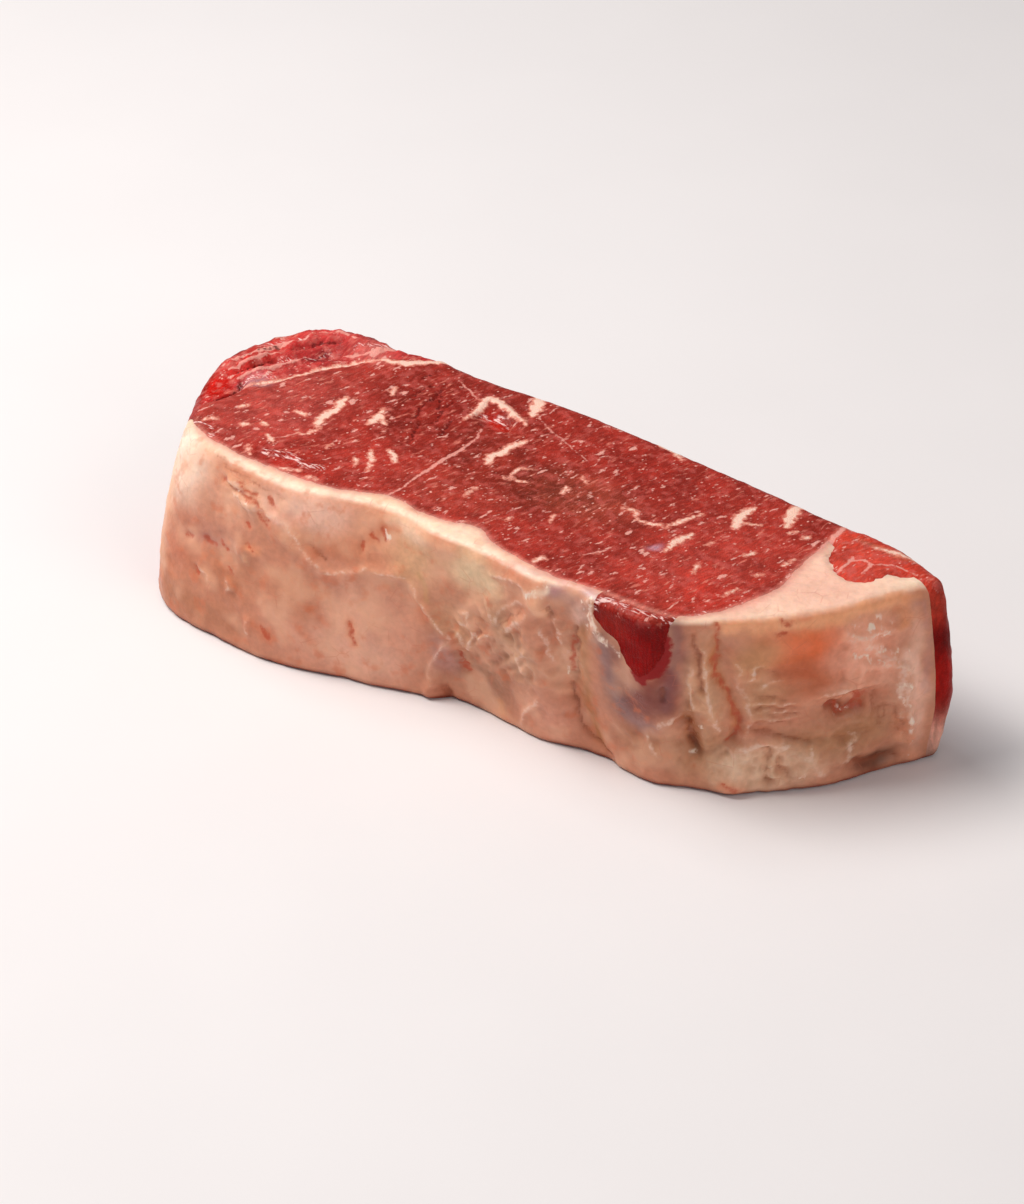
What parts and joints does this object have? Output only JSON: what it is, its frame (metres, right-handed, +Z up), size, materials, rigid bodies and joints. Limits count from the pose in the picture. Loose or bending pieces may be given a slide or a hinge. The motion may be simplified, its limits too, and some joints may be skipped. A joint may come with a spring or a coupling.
{
  "type": "raw strip steak",
  "caption": "Thick raw boneless strip steak with a pale fat cap along one side, lying on its cut face.",
  "frame": {"origin": "centre of the box round the steak, on the surface that it lies on", "axes": "+X along the steak to its narrow tail, -Y out of the fat side, +Z up out of the upper cut face"},
  "size_m": [0.2002, 0.078, 0.0475],
  "materials": {
    "lean": "moist raw lean",
    "tail_lean": "moist raw lean",
    "side_lean": "wet loose-grained lean",
    "fat": "waxy raw fat"
  },
  "bodies": {
    "root": {"eye_muscle": "lean", "tail_muscle": "tail_lean", "side_muscle": "side_lean", "fat_cap": "fat"}
  },
  "joints": []
}
